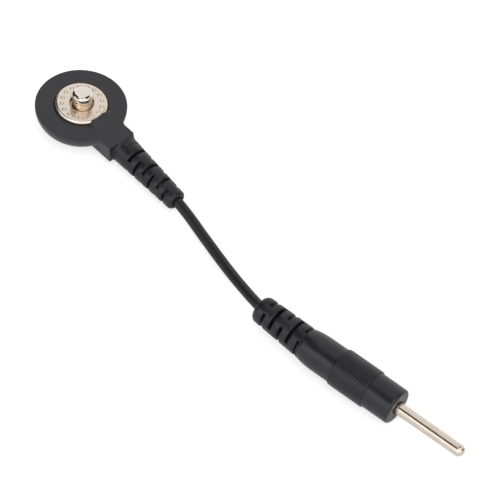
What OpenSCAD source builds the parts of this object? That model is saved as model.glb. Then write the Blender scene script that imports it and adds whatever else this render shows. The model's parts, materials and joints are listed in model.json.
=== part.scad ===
// Short adapter lead: a snap stud in a round moulded housing at one end and a 2 mm
// contact pin in a ribbed plug at the other, joined by one moulded-in cord.
// Millimetres. +Z is up, +X runs from the stud towards the plug. The origin lies on the
// stud's axis, in the plane that the lead rests on.

/* [Snap housing] */
// Diameter of the round housing
housing_d = 14.9; // [13.8:0.1:17]
// Height of the housing from its foot to its flat top
housing_h = 4.7; // [4.5:0.05:6]
// Height of the straight side below the top edge
housing_rim_h = 0.25; // [0.1:0.05:0.5]
// Diameter of the flat foot under the domed back
foot_d = 3.5; // [2.5:0.1:5]
// Width of the tab that carries the cord
tab_w = 5.2; // [4.8:0.02:6]
// Height of the tab below the housing's top
tab_h = 3.35; // [3.1:0.05:4]
// Distance from the stud's axis to the tab's end wall
tab_reach = 9.8; // [9.4:0.1:12]
// Draft of the tab's side walls, in degrees
tab_draft = 3.5; // [0:0.5:6]
// Radius of the hollow blend between the disc and the tab
tab_blend_r = 1.2; // [0.6:0.1:2]
// Gap round the stud plate in the housing's top
plate_gap = 0.15; // [0.1:0.05:0.5]
// Diameter of the inner core under the stud plate
core_d = 10.4; // [9.8:0.1:11]
// Height of the inner core's underside
core_base_z = 1.4; // [1.3:0.05:1.8]

/* [Snap stud] */
// Diameter of the stud plate over its rolled rim
plate_d = 8.6; // [8.0:0.1:9.2]
// Sheet thickness of the stud plate
plate_t = 0.3; // [0.2:0.05:0.4]
// Height of the stud plate's top above the housing
plate_proud = 0.55; // [0.4:0.05:0.9]
// Number of pips raised on the stud plate
pip_count = 16; // [8:1:20]
// Diameter of the hole that the stud comes up through
plate_hole_d = 3.86; // [3.5:0.02:4.2]
// Diameter of the ring of pips
pip_ring_d = 6.55; // [5.6:0.05:7.2]
// Width of one pip
pip_w = 0.5; // [0.3:0.05:0.7]
// Height of one pip
pip_h = 0.09; // [0.04:0.01:0.15]
// Height of the stud above its plate
stud_h = 2.62; // [2.4:0.02:3.2]
// Largest diameter of the stud's head
stud_head_d = 3.44; // [3.2:0.02:3.9]
// Length of the straight band round the stud's head
stud_band_l = 0.5; // [0.2:0.05:0.6]
// Height of the stud's rounded shoulder
stud_shoulder_h = 0.45; // [0.3:0.05:0.6]
// Diameter of the flat top of the stud
stud_top_d = 2; // [1.8:0.1:2.6]
// Diameter of the stud's neck
stud_neck_d = 3.1; // [2.7:0.05:3.2]
// Radius of the fillet between the stud's neck and its flange
stud_fillet = 0.15; // [0.1:0.05:0.2]
// Diameter of the stud's flange under the plate
stud_flange_d = 6.2; // [5.4:0.1:6.4]
// Sheet thickness of the stud
stud_t = 0.3; // [0.2:0.05:0.35]
// Thickness of the backing washer
washer_t = 0.3; // [0.2:0.05:0.4]
// Diameter of the rivet post inside the stud
rivet_d = 1.7; // [1.4:0.05:1.8]
// Diameter of the rivet post's head
rivet_head_d = 3.4; // [2.8:0.1:4.0]
// Thickness of the rivet post's head
rivet_head_t = 0.3; // [0.2:0.05:0.4]

/* [Ring terminal] */
// Diameter of the terminal's ring
terminal_d = 5.2; // [4.6:0.1:6]
// Sheet thickness of the terminal
terminal_t = 0.3; // [0.2:0.05:0.35]
// Width of the terminal's tongue
tongue_w = 1.4; // [1.0:0.1:1.8]

/* [Cord] */
// Diameter of the cord's jacket
cord_d = 1.75; // [1.5:0.05:1.8]
// Diameter of the stranded conductor
conductor_d = 0.6; // [0.4:0.05:0.8]

/* [Snap boot] */
// Length of the slotted boot behind the snap housing
snap_boot_l = 13.4; // [13.2:0.1:16]
// Diameter of that boot at its root
snap_boot_root_d = 4.74; // [4.4:0.02:5]
// Diameter of that boot at its tip
snap_boot_tip_d = 3.46; // [3.2:0.02:4]
// Number of slotted rings on that boot
snap_boot_slots = 6; // [3:1:7]
// Distance from the root to the first slot's middle
snap_boot_first = 3.2; // [2.4:0.1:3.6]
// Distance between neighbouring slots on that boot
snap_boot_pitch = 1.665; // [1.4:0.005:1.7]
// Width of the webs beside the top and bottom slots, in degrees
snap_web_a = 51; // [40:1:70]
// Width of the webs between the side slots, in degrees
snap_web_b = 59; // [40:1:70]

/* [Plug boot] */
// Length of the slotted boot behind the plug
plug_boot_l = 9.95; // [9.4:0.05:12]
// Diameter of that boot at its root
plug_boot_root_d = 5.2; // [4.8:0.05:5.4]
// Diameter of that boot at its tip
plug_boot_tip_d = 4.55; // [4:0.05:4.8]
// Number of slotted rings on that boot
plug_boot_slots = 5; // [3:1:5]
// Distance from the root to the first slot's middle
plug_boot_first = 0.68; // [0.65:0.01:1]
// Distance between neighbouring slots on that boot
plug_boot_pitch = 1.78; // [1.5:0.01:1.8]
// Width of the webs between the side slots, in degrees
plug_web_b = 37; // [30:1:60]
// Width of the webs beside the top and bottom slots, in degrees
plug_web_a = 59; // [40:1:70]
// Width of every slot in both boots
slot_w = 0.5; // [0.4:0.02:0.6]
// Radius on the edges of every slot's mouth
slot_round = 0.22; // [0.05:0.01:0.24]
// Thickness of the skin left round the cord under every slot
slot_skin = 0.3; // [0.15:0.05:0.5]

/* [Plug grip] */
// Distance from the stud's axis to the plug's reference section
plug_x = 60.12; // [59:0.01:62]
// Diameter of the plug's plain body
body_d = 5.87; // [5.6:0.01:6.1]
// Length of the rounded tail in front of the boot
tail_l = 3.3; // [3:0.05:3.5]
// Length of the plain body between the tail and the grip
body_l = 3.15; // [2:0.05:4]
// Diameter of the ribbed grip
grip_d = 6.37; // [6.2:0.01:6.8]
// Length of the ribbed grip
grip_l = 6.4; // [6.2:0.1:8]
// Number of grooves round the grip
groove_count = 13; // [5:1:13]
// Distance between neighbouring grooves
groove_pitch = 0.49; // [0.4:0.01:0.5]
// Radius of one groove's section
groove_r = 0.13; // [0.08:0.01:0.18]
// Diameter of the plain nose
nose_d = 5.94; // [5.6:0.01:6.2]
// Length of the plain nose
nose_l = 4.85; // [4:0.05:6]
// Thickness of the nose's end wall
nose_wall = 0.6; // [0.4:0.05:0.9]
// Diameter of the hole round the contact pin
pin_hole_d = 2.3; // [2.25:0.05:3]
// Diameter of the inner pin holder
holder_d = 4.3; // [4.1:0.05:4.6]

/* [Contact pin] */
// Diameter of the contact pin
pin_d = 2; // [1.8:0.01:2.2]
// Length of the pin beyond the nose's end face
pin_l = 12.47; // [10:0.01:14]
// Diameter of the pin's shank in the holder
shank_d = 2.4; // [2.2:0.05:2.6]
// Diameter of the pin's flange
pin_flange_d = 3.4; // [3:0.05:3.7]
// Diameter of the pin's solder cup
cup_d = 1.5; // [1.4:0.05:1.6]
// Depth of the retaining groove behind the pin's free end
pin_groove_depth = 0.25; // [0.2:0.01:0.3]

/* [Resistor and splice] */
// Diameter of the series resistor's body
resistor_d = 1.6; // [1.5:0.05:1.65]
// Length of the series resistor's body
resistor_l = 3.5; // [3:0.1:4]
// Diameter of the resistor's leads
lead_d = 0.45; // [0.3:0.05:0.6]
// Outer diameter of the crimp sleeve
splice_d = 1.4; // [1.1:0.05:1.6]
// Outer diameter of the ferrule on the jacket
ferrule_d = 2.5; // [2.3:0.05:2.8]

/* [Hidden] */
$fn = 64;

// Running clearance between moulded or pressed pieces
fit = 0.03;
// Overlap that makes a cut pass clean through a face
thru = 0.01;
// Steps along a curved profile
steps = 14;

// Heights in the stack under the stud plate, from the top down
plate_top = housing_h + plate_proud;
flange_top = plate_top - plate_t;
washer_top = flange_top - stud_t;
seat_z = washer_top - washer_t;
terminal_base = seat_z - terminal_t;
rivet_base = terminal_base - rivet_head_t;
rivet_upset_h = 0.35;
rivet_upset_gap = 0.1;
rim_roll_r = (plate_top - seat_z) / 2;
rim_fold_r = plate_d / 2 - rim_roll_r - 2 * plate_t;
// Gap round the backing washer, and the rounding of the plate's hole
washer_gap = 0.1;
plate_hole_round = plate_t * 0.6;
washer_d = 2 * (rim_fold_r - washer_gap);

// The housing's dome is a quarter ellipse between the foot and the straight rim
dome_z = housing_h - housing_rim_h;
dome_r = housing_d / 2 - foot_d / 2;
tab_y = 0;

// Line of the cord inside the snap housing
lead_y = 0.45;
crimp_z = 2.7;
strip_x = 5.9;
crimp_end_x = 7.6;
conductor_x = 4.1;
crimp_wall = 0.15;
crimp_gap = 0.08;
crimp_end_gap = 0.1;
barrel_l = 1.2;
bridge_l = 0.5;
crimp_r = cord_d / 2 + fit + crimp_wall;
drop_x = conductor_x - bridge_l;

// Axis of the snap boot: its crown stands just proud of the tab
snap_boot_proud = 0.07;
snap_boot_z = housing_h - snap_boot_root_d / 2 + snap_boot_proud;
snap_boot_y = lead_y + 0.1;
snap_boot_yaw = -2.2;
snap_boot_dip = 1.7;
snap_boot_roll = 9.5;
snap_boot_round = 0.6;
snap_mouth_r = 0.2;
root_fillet_r = 0.35;
root_trim = 0.3;
root_lap = 0.1;
mouth_l = 1.2;
crown_line_at = 1.45;
crown_line_r = 0.11;
crown_line_span = 100;

// Axis of the plug: the grip rests on the ground plane
plug_y = -3.71;
plug_z = grip_d / 2;
plug_yaw = 7.6;
plug_boot_yaw = 4.3;
plug_boot_roll = 20.5;
plug_boot_round = 0.95;
plug_mouth_r = 0.35;
plug_boot_start = 0.3;
spigot_d = 3.8;
spigot_l = 1.3;
spigot_gap = 0.15;
boot_back = 3;
boot_station = -boot_back;
tail_trim = 0.15;
tail_oval_r = 0.73;
tail_oval_l = 3.75;
pocket_lap = 0.3;
holder_play = 0.1;
grip_round = 0.2;
nose_round = 0.45;
groove_lift = 0.03;

// Stations along the plug's axis
grip_start = body_l;
grip_end = grip_start + grip_l;
nose_end = grip_end + nose_l;
holder_front = nose_end - nose_wall;
holder_rear = -1.5;
lip_l = 0.75;
lip_back = holder_front - lip_l;
shank_l = 2.6;
flange_l = 0.6;
flange_front = lip_back - shank_l;
flange_back = flange_front - flange_l;
pin_shoulder = 0.1;
cup_l = 2.2;
cup_back = flange_back - cup_l;
cup_depth = 1.8;
seat_gap = 0.2;
bare_lead_l = 0.6;
resistor_front = cup_back - bare_lead_l;
resistor_back = resistor_front - resistor_l;
resistor_cap_l = 0.9;
jacket_end = 0;
conductor_end = 1.4;
sleeve_back = 0.3;
sleeve_front = resistor_back - 2 * seat_gap;
lead_back = conductor_end + sleeve_back;
ferrule_l = 1.2;

// Route of the cord's middle line from the snap housing to the plug
CORD = [
    [9.8, 0.55, 2.4], [12, 0.47, 2.33], [14.4, 0.38, 2.26], [16.7, 0.29, 2.2],
    [19, 0.2, 2.13], [21.3, 0.11, 2.06], [23.3, 0.01, 2], [25.3, -0.24, 1.88],
    [27.5, -0.6, 1.72], [30, -1.1, 1.56], [32.5, -1.59, 1.47], [35, -2.11, 1.46],
    [37.5, -2.65, 1.56], [40, -3.2, 1.8], [42.5, -3.73, 2.15], [44.5, -4.16, 2.5],
    [46, -4.45, 2.79], [47.3, -4.68, 3.02], [48.6, -4.76, 3.15], [50.2, -4.64, 3.18],
    [52.5, -4.46, 3.18], [54.8, -4.28, 3.18]
];

// A point at a station on the plug's axis
function on_axis(s) = [plug_x + s * cos(plug_yaw), plug_y + s * sin(plug_yaw), plug_z];

// Half an arc's points, from angle a0 to a1 about a centre
function arc(c, r, a0, a1, n = steps) =
    [for (i = [0:n]) let (a = a0 + (a1 - a0) * i / n) c + r * [cos(a), sin(a)]];

// The same for an ellipse with two radii
function oval(c, rx, ry, a0, a1, n = steps) =
    [for (i = [0:n]) let (a = a0 + (a1 - a0) * i / n) [c.x + rx * cos(a), c.y + ry * sin(a)]];

function unit(v) = v / norm(v);

// Tangent at point i of a path
function tangent(path, i) =
    unit(path[min(i + 1, len(path) - 1)] - path[max(i - 1, 0)]);

// One ring of a swept tube, square to the path at point i
function ring(path, i, r, sides) =
    let (t = tangent(path, i), side = unit(cross([0, 0, 1], t)), up = cross(t, side))
    [for (k = [0:sides - 1])
        path[i] + r * (cos(360 * k / sides) * side + sin(360 * k / sides) * up)];

// Triangles between the rings that start at a and b
function band(a, b, sides) =
    [for (k = [0:sides - 1]) let (n = (k + 1) % sides)
        each [[a + k, b + k, b + n], [a + k, b + n, a + n]]];

function flip(faces) = [for (f = faces) [f[2], f[1], f[0]]];

// Solid cord with triangle fans at its ends
module rope(path, r, sides = 8) {
    n = len(path);
    points = [for (i = [0:n - 1]) each ring(path, i, r, sides)];
    walls = [for (i = [0:n - 2]) each band(i * sides, (i + 1) * sides, sides)];
    start = [for (k = [1:sides - 2]) [0, k, k + 1]];
    stop = [for (k = [1:sides - 2]) [0, k + 1, k] + (n - 1) * sides * [1, 1, 1]];
    polyhedron(points, concat(walls, start, stop));
}

// Hollow cord: outer rings first, then the bore's
module tube(path, r, bore_r, sides = 8) {
    n = len(path);
    inner = n * sides;
    outer_points = [for (i = [0:n - 1]) each ring(path, i, r, sides)];
    inner_points = [for (i = [0:n - 1]) each ring(path, i, bore_r, sides)];
    outer_walls = [for (i = [0:n - 2]) each band(i * sides, (i + 1) * sides, sides)];
    inner_walls = [for (i = [0:n - 2])
        each flip(band(inner + i * sides, inner + (i + 1) * sides, sides))];
    start = flip(band(0, inner, sides));
    stop = band((n - 1) * sides, inner + (n - 1) * sides, sides);
    polyhedron(concat(outer_points, inner_points), concat(outer_walls, inner_walls, start, stop));
}

// Round bar between two points
module bar(p, q, r) {
    v = q - p;
    translate(p)
        rotate([0, acos(v.z / norm(v)), atan2(v.y, v.x)])
            cylinder(h = norm(v), r = r);
}

// Frames whose local +Z runs along the boots' and the plug's axes, with local -X up
module on_snap_boot() {
    translate([tab_reach, snap_boot_y, snap_boot_z])
        rotate([0, 90 + snap_boot_dip, snap_boot_yaw])
            children();
}

module on_plug() {
    translate(on_axis(0)) rotate([0, 90, plug_yaw]) children();
}

module on_plug_boot() {
    translate(on_axis(boot_station)) rotate([0, 90, 180 + plug_boot_yaw]) children();
}

// Radius of the housing's dome at a height, and how far it has drawn in there
function dome_radius(z) =
    foot_d / 2 + dome_r * sqrt(max(0, 1 - pow((dome_z - min(z, dome_z)) / dome_z, 2)));
function dome_inset(z) = housing_d / 2 - dome_radius(z);

// Outline of the domed disc, as a half section
module disc_section() {
    polygon(concat(
        [[0, 0]],
        oval([foot_d / 2, dome_z], dome_r, dome_z, -90, 0, 24),
        [[housing_d / 2, housing_h], [0, housing_h]]
    ));
}

// Section of the tab across the cord, drawn in Y and Z
module tab_section() {
    top = tab_w / 2;
    bottom = top - tab_h * tan(tab_draft);
    translate([tab_y, 0])
        polygon([
            [-top, housing_h], [-bottom, housing_h - tab_h],
            [bottom, housing_h - tab_h], [top, housing_h]
        ]);
}

module tab_bar(from, to) {
    translate([from, 0, 0])
        rotate([90, 0, 90])
            linear_extrude(to - from) tab_section();
}

// Hollow blend between the disc and one side of the tab, fading out down the dome
module tab_blend(side) {
    edge = side * tab_w / 2 + tab_y;
    centre_y = edge + side * tab_blend_r;
    centre_x = sqrt(pow(housing_d / 2 + tab_blend_r, 2) - pow(centre_y, 2));
    base = housing_h - tab_h;
    levels = [for (i = [0:12]) base + (dome_z - base) * i / 12];
    difference() {
        translate([0, 0, base])
            linear_extrude(tab_h)
                polygon([[0, 0], [centre_x, edge], [centre_x, centre_y]]);
        translate([centre_x, centre_y, 0])
            rotate_extrude()
                polygon(concat(
                    [[0, base - 1]],
                    [[tab_blend_r + dome_inset(base), base - 1]],
                    [for (z = levels) [tab_blend_r + dome_inset(z), z]],
                    [[tab_blend_r, housing_h + 1], [0, housing_h + 1]]
                ));
    }
}

// Space of the inner core, grown by a clearance
module core_body(gap = 0) {
    translate([0, 0, core_base_z - gap])
        cylinder(h = seat_z - core_base_z + gap, d = core_d + 2 * gap);
}

// Straight line of the crimps, from one X to another
module crimp_bar(from, to, r) {
    translate([from, lead_y, crimp_z])
        rotate([0, 90, 0])
            cylinder(h = to - from, r = r);
}

module snap_housing() {
    color([0.17, 0.17, 0.17])
        difference() {
            union() {
                rotate_extrude($fn = 96) disc_section();
                tab_bar(0, tab_reach);
                for (side = [-1, 1]) tab_blend(side);
            }
            core_body(fit);
            translate([0, 0, seat_z - thru])
                cylinder(h = housing_h, d = plate_d + 2 * plate_gap);
            crimp_bar(conductor_x - crimp_gap, crimp_end_x, crimp_r + crimp_gap);
            bar([crimp_end_x - crimp_r / 3, lead_y, crimp_z],
                [tab_reach + crimp_gap, snap_boot_y, snap_boot_z], cord_d / 2 + crimp_gap);
        }
}

module snap_core() {
    color([0.32, 0.32, 0.33])
        difference() {
            core_body();
            translate([0, 0, terminal_base - fit])
                cylinder(h = seat_z, d = terminal_d + 2 * fit);
            translate([0, 0, rivet_base - fit])
                cylinder(h = seat_z, d = rivet_head_d + 2 * fit);
            translate([0, lead_y - tongue_w / 2 - fit, crimp_z - crimp_r])
                cube([drop_x + terminal_t + fit, tongue_w + 2 * fit, seat_z]);
            crimp_bar(drop_x - fit, core_d, crimp_r + crimp_gap);
        }
}

// One low pip, a cap of a sphere that starts inside the sheet
module pip() {
    ball_r = (pow(pip_w / 2, 2) + pow(pip_h, 2)) / (2 * pip_h);
    intersection() {
        translate([0, 0, pip_h - ball_r]) sphere(r = ball_r, $fn = 48);
        translate([0, 0, -plate_t / 2]) cylinder(h = plate_t, d = pip_w);
    }
}

// Thin sheet with its edge rolled under, a centre hole and a ring of raised pips
module stud_plate() {
    r = plate_d / 2;
    roll = rim_roll_r;
    hole_r = plate_hole_d / 2;
    round_r = plate_hole_round;
    color([0.80, 0.76, 0.72])
        union() {
            rotate_extrude($fn = 96)
                polygon(concat(
                    [[hole_r, flange_top]],
                    arc([hole_r + round_r, plate_top - round_r], round_r, 180, 90, 6),
                    arc([r - roll, plate_top - roll], roll, 90, -90, 16),
                    [[rim_fold_r, seat_z], [rim_fold_r, seat_z + plate_t - fit]],
                    [[r - roll, seat_z + plate_t - fit], [r - roll, flange_top]]
                ));
            for (i = [0:pip_count - 1])
                rotate([0, 0, 360 * (i + 0.5) / pip_count])
                    translate([pip_ring_d / 2, 0, plate_top])
                        pip();
        }
}

// Drawn hollow stud: flange, straight neck, head with a straight band and a shoulder
module snap_stud() {
    top = plate_top + stud_h;
    head = stud_head_d / 2;
    neck = stud_neck_d / 2;
    foot_z = flange_top - fit;
    flat = stud_top_d / 2;
    band_top = top - stud_shoulder_h;
    band_base = band_top - stud_band_l;
    swell = head - neck;
    cavity = neck - stud_t;
    color([0.82, 0.79, 0.75])
        rotate_extrude($fn = 96)
            polygon(concat(
                [[cavity, washer_top], [stud_flange_d / 2, washer_top]],
                [[stud_flange_d / 2, foot_z]],
                arc([neck + stud_fillet, foot_z + stud_fillet], stud_fillet, 270, 180, 6),
                oval([head, band_base - swell * 2], -swell, swell * 2, 0, 90, 8),
                [[head, band_top]],
                oval([flat, band_top], head - flat, stud_shoulder_h, 0, 90, 10),
                [[0, top], [0, top - stud_t]],
                [[flat, top - stud_t], [head - stud_t, band_top]],
                [[head - stud_t, band_base], [cavity, band_base - swell * 2]]
            ));
}

module backing_washer() {
    color([0.70, 0.68, 0.64])
        translate([0, 0, seat_z])
            difference() {
                cylinder(h = washer_t, d = washer_d);
                translate([0, 0, -thru])
                    cylinder(h = washer_t + 2 * thru, d = rivet_d + 2 * fit);
            }
}

// Post through the stack, upset inside the stud's head
module rivet_post() {
    top = plate_top + stud_h - stud_shoulder_h - rivet_upset_gap;
    color([0.74, 0.70, 0.62])
        rotate_extrude()
            polygon([
                [0, rivet_base], [rivet_head_d / 2, rivet_base],
                [rivet_head_d / 2, terminal_base - fit], [rivet_d / 2, terminal_base - fit],
                [rivet_d / 2, top - rivet_upset_h], [stud_neck_d / 2 - stud_t - fit, top], [0, top]
            ]);
}

// Ring, joggled tongue, conductor crimp and jacket crimp in one pressing
module ring_terminal() {
    barrel_r = conductor_d / 2 + fit + crimp_wall;
    neck_x = terminal_d / 2 - terminal_t * 2;
    color([0.78, 0.72, 0.60])
        difference() {
            union() {
                translate([0, 0, terminal_base])
                    cylinder(h = terminal_t - fit, d = terminal_d);
                translate([neck_x, lead_y - tongue_w / 2, terminal_base])
                    cube([drop_x - neck_x + terminal_t, tongue_w, terminal_t - fit]);
                translate([drop_x, lead_y - tongue_w / 2, crimp_z - barrel_r])
                    cube([terminal_t, tongue_w, terminal_base - crimp_z + barrel_r + thru]);
                translate([drop_x, lead_y - tongue_w / 4, crimp_z - barrel_r])
                    cube([strip_x + fit - drop_x, tongue_w / 2, crimp_wall]);
                translate([strip_x - bridge_l, lead_y - tongue_w / 4, crimp_z - crimp_r])
                    cube([bridge_l + 2 * crimp_wall, tongue_w / 2, crimp_r - barrel_r + crimp_wall]);
                crimp_bar(conductor_x, conductor_x + barrel_l, barrel_r);
                crimp_bar(strip_x + crimp_end_gap, crimp_end_x - crimp_end_gap, crimp_r);
            }
            translate([0, 0, rivet_base])
                cylinder(h = seat_z - rivet_base, d = rivet_d + 2 * fit);
            crimp_bar(drop_x + terminal_t + thru, strip_x, conductor_d / 2 + fit);
            crimp_bar(strip_x - fit, crimp_end_x, cord_d / 2 + fit);
        }
}

// Half section of a slotted boot with its bore, rounded tip and flared mouth
module boot_section(length, root_d, tip_d, tip_round, mouth_r, start) {
    bore = cord_d / 2 + fit;
    tip = tip_d / 2;
    polygon(concat(
        [[bore, start], [root_d / 2, start]],
        oval([tip - tip_round, length - tip_round], tip_round, tip_round, 0, 90, 10),
        [[bore + mouth_r, length]],
        oval([bore + mouth_r, length - mouth_l], mouth_r, mouth_l, 90, 180, 6)
    ));
}

// Slots open on two opposite sides, centred on an angle, leaving two webs
module slot_pair(station, outer_r, centre, web, width) {
    span = 180 - web;
    half = width / 2;
    floor_r = cord_d / 2 + fit + slot_skin;
    bend_r = outer_r - slot_round;
    edge = half + slot_round;
    for (side = [0, 180])
        rotate([0, 0, centre + side - span / 2])
            rotate_extrude(angle = span)
                translate([0, station])
                    polygon(concat(
                        [[floor_r, half], [floor_r, -half]],
                        arc([bend_r, -edge], slot_round, 90, 0, 5),
                        [[outer_r + slot_round, -edge], [outer_r + slot_round, edge]],
                        arc([bend_r, edge], slot_round, 0, -90, 5)
                    ));
}

// Radius of a tapered boot at a station
function boot_radius(s, length, root_d, tip_d, tip_round) =
    (root_d + (tip_d - root_d) * s / (length - tip_round)) / 2;

// Hollow fillet round the snap boot's root
module root_flare() {
    root_r = snap_boot_root_d / 2;
    rotate_extrude()
        polygon(concat(
            [[root_r - root_lap, -root_trim], [root_r + root_fillet_r, -root_trim]],
            arc([root_r + root_fillet_r, root_fillet_r], root_fillet_r, 270, 180, 6),
            [[root_r - root_lap, root_fillet_r]]
        ));
}

// Shallow line across the snap boot's crown, between its root and its first slot
module crown_line(up) {
    r = boot_radius(crown_line_at, snap_boot_l, snap_boot_root_d, snap_boot_tip_d,
        snap_boot_round);
    rotate([0, 0, up - crown_line_span / 2])
        rotate_extrude(angle = crown_line_span)
            translate([r, crown_line_at])
                circle(r = crown_line_r, $fn = 16);
}

module snap_boot_rings() {
    up = 180 - snap_boot_roll;
    difference() {
        rotate_extrude()
            boot_section(snap_boot_l, snap_boot_root_d, snap_boot_tip_d, snap_boot_round,
                snap_mouth_r, -root_trim);
        for (i = [0:snap_boot_slots - 1]) {
            s = snap_boot_first + i * snap_boot_pitch;
            r = boot_radius(s, snap_boot_l, snap_boot_root_d, snap_boot_tip_d, snap_boot_round);
            slot_pair(s, r, up + (i % 2) * 90, i % 2 == 0 ? snap_web_a : snap_web_b, slot_w);
        }
        crown_line(up);
    }
}

// The boot's root is trimmed flush with the tab's end wall
module snap_boot() {
    color([0.20, 0.20, 0.20])
        difference() {
            union() {
                on_snap_boot() snap_boot_rings();
                intersection() {
                    on_snap_boot() root_flare();
                    tab_bar(tab_reach, tab_reach + root_fillet_r + root_trim);
                }
            }
            translate([tab_reach - snap_boot_l, -tab_w, -tab_w])
                cube([snap_boot_l, 2 * tab_w, 3 * tab_w]);
        }
}

module plug_boot() {
    up = 180 - plug_boot_roll;
    color([0.20, 0.20, 0.20])
        on_plug_boot()
            difference() {
                union() {
                    rotate_extrude()
                        boot_section(plug_boot_l, plug_boot_root_d, plug_boot_tip_d,
                            plug_boot_round, plug_mouth_r, plug_boot_start);
                    translate([0, 0, -spigot_l])
                        cylinder(h = spigot_l + plug_boot_start + thru, d = spigot_d);
                }
                translate([0, 0, -spigot_l - thru])
                    cylinder(h = spigot_l + plug_boot_start + 2 * thru, r = cord_d / 2 + spigot_gap);
                for (i = [0:plug_boot_slots - 1]) {
                    s = plug_boot_first + i * plug_boot_pitch;
                    r = boot_radius(s, plug_boot_l, plug_boot_root_d, plug_boot_tip_d,
                        plug_boot_round);
                    slot_pair(s, r, up + ((i + 1) % 2) * 90, i % 2 == 0 ? plug_web_b : plug_web_a,
                        i == 0 ? slot_w / 2 : slot_w);
                }
            }
}

// Path of the cord from a start in the snap housing to an end in the plug
function cord_path(from_x, to_station) = concat(
    [[from_x, lead_y, crimp_z], [crimp_end_x, lead_y, crimp_z]],
    CORD,
    [on_axis(boot_station), on_axis(to_station)]
);

module cord_jacket() {
    color([0.15, 0.15, 0.15])
        tube(cord_path(strip_x, jacket_end), cord_d / 2, conductor_d / 2 + 2 * fit);
}

module cord_conductor() {
    color([0.72, 0.45, 0.28])
        rope(cord_path(conductor_x, conductor_end), conductor_d / 2);
}

// Moulded grip: rounded tail, plain body, ribbed grip and plain nose round one cavity
module plug_grip() {
    body = body_d / 2;
    grip = grip_d / 2;
    nose = nose_d / 2;
    cavity = holder_d / 2 + fit;
    tail_back = tail_l + tail_trim;
    inner_r = spigot_d / 2 - pocket_lap;
    cavity_back = holder_rear - holder_play;
    first = grip_start + (grip_l - (groove_count - 1) * groove_pitch) / 2;
    color([0.17, 0.17, 0.17])
        difference() {
            on_plug() difference() {
                rotate_extrude($fn = 96)
                    polygon(concat(
                        [[inner_r, -tail_back]],
                        [for (i = [0:steps]) let (s = -tail_back * (1 - i / steps))
                            [body - tail_oval_r + tail_oval_r * sqrt(1 - pow(s / tail_oval_l, 2)), s]],
                        [[body, grip_start]],
                        arc([grip - grip_round, grip_start + grip_round], grip_round, -90, 0, 5),
                        arc([grip - grip_round, grip_end - grip_round], grip_round, 0, 90, 5),
                        [[nose, grip_end]],
                        arc([nose - nose_round, nose_end - nose_round], nose_round, 0, 90, 8),
                        [[pin_hole_d / 2, nose_end], [pin_hole_d / 2, holder_front]],
                        [[cavity, holder_front], [cavity, cavity_back], [inner_r, cavity_back]]
                    ));
                for (i = [0:groove_count - 1])
                    translate([0, 0, first + i * groove_pitch])
                        rotate_extrude($fn = 96)
                            translate([grip + groove_lift, 0])
                                circle(r = groove_r, $fn = 24);
            }
            on_plug_boot() {
                translate([0, 0, -spigot_l - fit])
                    cylinder(h = body_d, d = spigot_d + 2 * fit);
                translate([0, 0, plug_boot_start])
                    cylinder(h = body_d, d = 2 * body_d);
            }
        }
}

// Stepped carrier that holds the pin, the resistor and the splice
module pin_holder() {
    lip_r = pin_d / 2 - pin_groove_depth + fit;
    color([0.28, 0.28, 0.29])
        on_plug()
            rotate_extrude()
                polygon([
                    [lip_r, holder_front], [holder_d / 2, holder_front],
                    [holder_d / 2, holder_rear], [ferrule_d / 2 + fit, holder_rear],
                    [ferrule_d / 2 + fit, jacket_end + fit], [splice_d / 2 + fit, jacket_end + fit],
                    [splice_d / 2 + fit, resistor_back - seat_gap],
                    [resistor_d / 2 + fit, resistor_back - seat_gap],
                    [resistor_d / 2 + fit, cup_back - seat_gap], [cup_d / 2 + fit, cup_back - seat_gap],
                    [cup_d / 2 + fit, flange_back - fit], [pin_flange_d / 2 + fit, flange_back - fit],
                    [pin_flange_d / 2 + fit, flange_front + fit],
                    [shank_d / 2 + fit, flange_front + fit], [shank_d / 2 + fit, lip_back + fit],
                    [lip_r, lip_back + fit]
                ]);
}

// Turned pin: round tip, coned shoulder, retaining groove, shank, flange and solder cup
module contact_pin() {
    r = pin_d / 2;
    groove = r - pin_groove_depth;
    tip = nose_end + pin_l;
    color([0.80, 0.76, 0.73])
        on_plug()
            rotate_extrude()
                polygon(concat(
                    [[0, cup_back + cup_depth], [lead_d / 2 + fit, cup_back + cup_depth]],
                    [[lead_d / 2 + fit, cup_back], [cup_d / 2, cup_back]],
                    [[cup_d / 2, flange_back], [pin_flange_d / 2, flange_back]],
                    [[pin_flange_d / 2, flange_front], [shank_d / 2, flange_front]],
                    [[shank_d / 2, lip_back], [groove, lip_back]],
                    [[groove, nose_end - pin_shoulder], [r, nose_end + pin_shoulder]],
                    arc([0, tip - r], r, 0, 90, 16)
                ));
}

// Axial resistor with soldered leads
module series_resistor() {
    r = resistor_d / 2;
    cap = resistor_cap_l;
    cap_round = 0.12;
    waist = r - cap_round;
    color([0.66, 0.56, 0.42])
        on_plug()
            rotate_extrude()
                polygon([
                    [0, lead_back], [lead_d / 2, lead_back], [lead_d / 2, resistor_back],
                    [waist, resistor_back], [r, resistor_back + cap_round], [r, resistor_back + cap],
                    [waist, resistor_back + cap + seat_gap],
                    [waist, resistor_front - cap - seat_gap],
                    [r, resistor_front - cap], [r, resistor_front - cap_round], [waist, resistor_front],
                    [lead_d / 2, resistor_front], [lead_d / 2, cup_back + cup_depth - seat_gap],
                    [0, cup_back + cup_depth - seat_gap]
                ]);
}

module crimp_sleeve() {
    color([0.76, 0.72, 0.64])
        on_plug()
            translate([0, 0, sleeve_back])
                difference() {
                    cylinder(h = sleeve_front - sleeve_back, d = splice_d);
                    translate([0, 0, -thru])
                        cylinder(h = sleeve_front - sleeve_back + 2 * thru,
                            r = conductor_d / 2 + fit);
                }
}

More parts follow.
